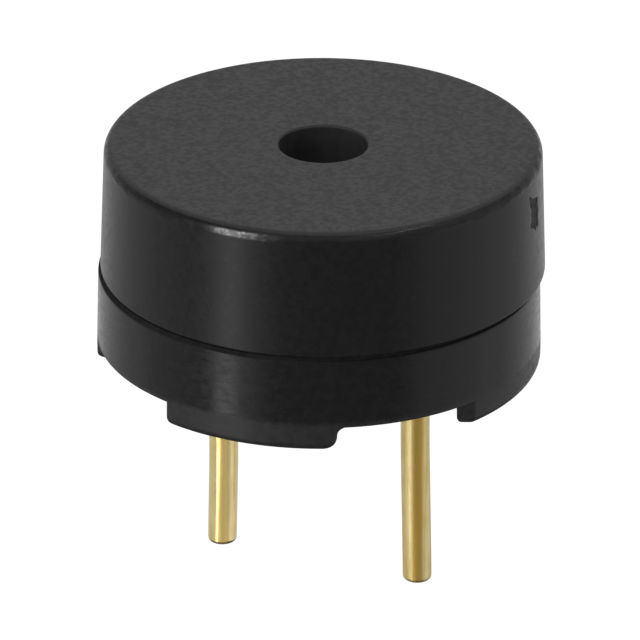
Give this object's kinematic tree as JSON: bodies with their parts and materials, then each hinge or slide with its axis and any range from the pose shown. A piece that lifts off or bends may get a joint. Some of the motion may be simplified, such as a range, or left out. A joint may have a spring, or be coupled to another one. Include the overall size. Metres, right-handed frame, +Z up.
{
  "type": "magnetic buzzer",
  "caption": "Round black through-hole magnetic buzzer: drafted cap with a central sound hole, base on rim feet and round brass wire pins of unequal length.",
  "frame": {"origin": "centre of the pin pattern on the plane where the feet stand on a circuit board", "axes": "+Z up through the sound hole, +X from the negative (short) pin to the positive (long) pin"},
  "size_m": [0.0091, 0.009, 0.0099],
  "materials": {
    "cover_plastic": "fine spark-eroded grain on the top, smoother on the side",
    "base_plastic": "smooth, with matt feet",
    "pin_brass": "drawn wire, lightly tarnished",
    "steel": "rolled",
    "magnet": "pressed and matt",
    "copper": "enamelled wire",
    "solder": "smooth",
    "potting": "cast resin"
  },
  "bodies": {
    "root": {"cover": "cover_plastic", "base": "base_plastic", "diaphragm": "steel", "armature": "steel", "yoke": "steel", "core": "steel", "coil": "copper", "magnet": "magnet", "pin_positive": "pin_brass", "pin_negative": "pin_brass", "solder_positive": "solder", "solder_negative": "solder", "lead_positive": "copper", "lead_negative": "copper", "seal": "potting"}
  },
  "joints": []
}
